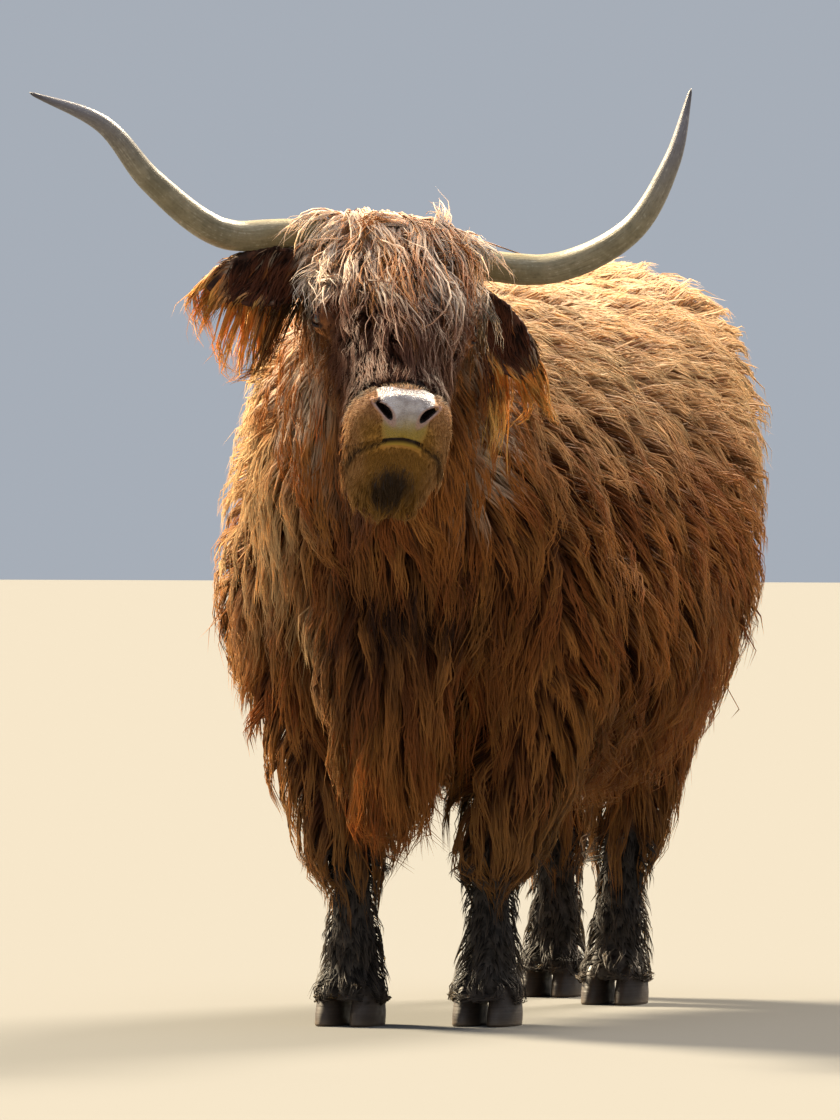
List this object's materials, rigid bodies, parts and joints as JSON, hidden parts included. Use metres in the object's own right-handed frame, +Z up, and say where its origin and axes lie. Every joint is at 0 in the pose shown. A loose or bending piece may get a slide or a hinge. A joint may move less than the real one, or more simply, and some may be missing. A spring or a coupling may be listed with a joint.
{
  "type": "highland cow",
  "caption": "Life-size highland cow standing square in full winter coat, head turned to its left, long horns swept out and up.",
  "frame": {"origin": "on the floor, under the middle of the whole outline", "axes": "+X to the cow's left, -Y the way it faces, +Z up"},
  "size_m": [0.91, 1.966, 1.4303],
  "materials": {
    "coat": "long wavy hair, ginger brown with golden tips, soft sheen",
    "coat_dark": "short wet shaggy hair, brown black",
    "face": "short hair over skin, bare pinkish grey nose pad",
    "fringe": "long straight hair, pale gold on top, brown below",
    "horn": "satin horn, grey to olive with dark flecks, dark tips",
    "hoof": "dull dark horn",
    "eye": "wet, glossy, near black"
  },
  "bodies": {
    "root": {"brisket": "coat", "ear_left": "fringe", "ear_right": "fringe", "eye_left": "eye", "eye_right": "eye", "forelock": "fringe", "head": "face", "hoof_fore_left_inner": "hoof", "hoof_fore_left_outer": "hoof", "hoof_fore_right_inner": "hoof", "hoof_fore_right_outer": "hoof", "hoof_hind_left_inner": "hoof", "hoof_hind_left_outer": "hoof", "hoof_hind_right_inner": "hoof", "hoof_hind_right_outer": "hoof", "horn_left": "horn", "horn_right": "horn", "jaw_lower": "face", "leg_lower_fore_left": "coat_dark", "leg_lower_fore_right": "coat_dark", "leg_lower_hind_left": "coat_dark", "leg_lower_hind_right": "coat_dark", "leg_upper_fore_left": "coat", "leg_upper_fore_right": "coat", "leg_upper_hind_left": "coat", "leg_upper_hind_right": "coat", "neck": "coat", "tail": "coat", "tail_switch": "coat", "trunk": "coat"}
  },
  "joints": []
}
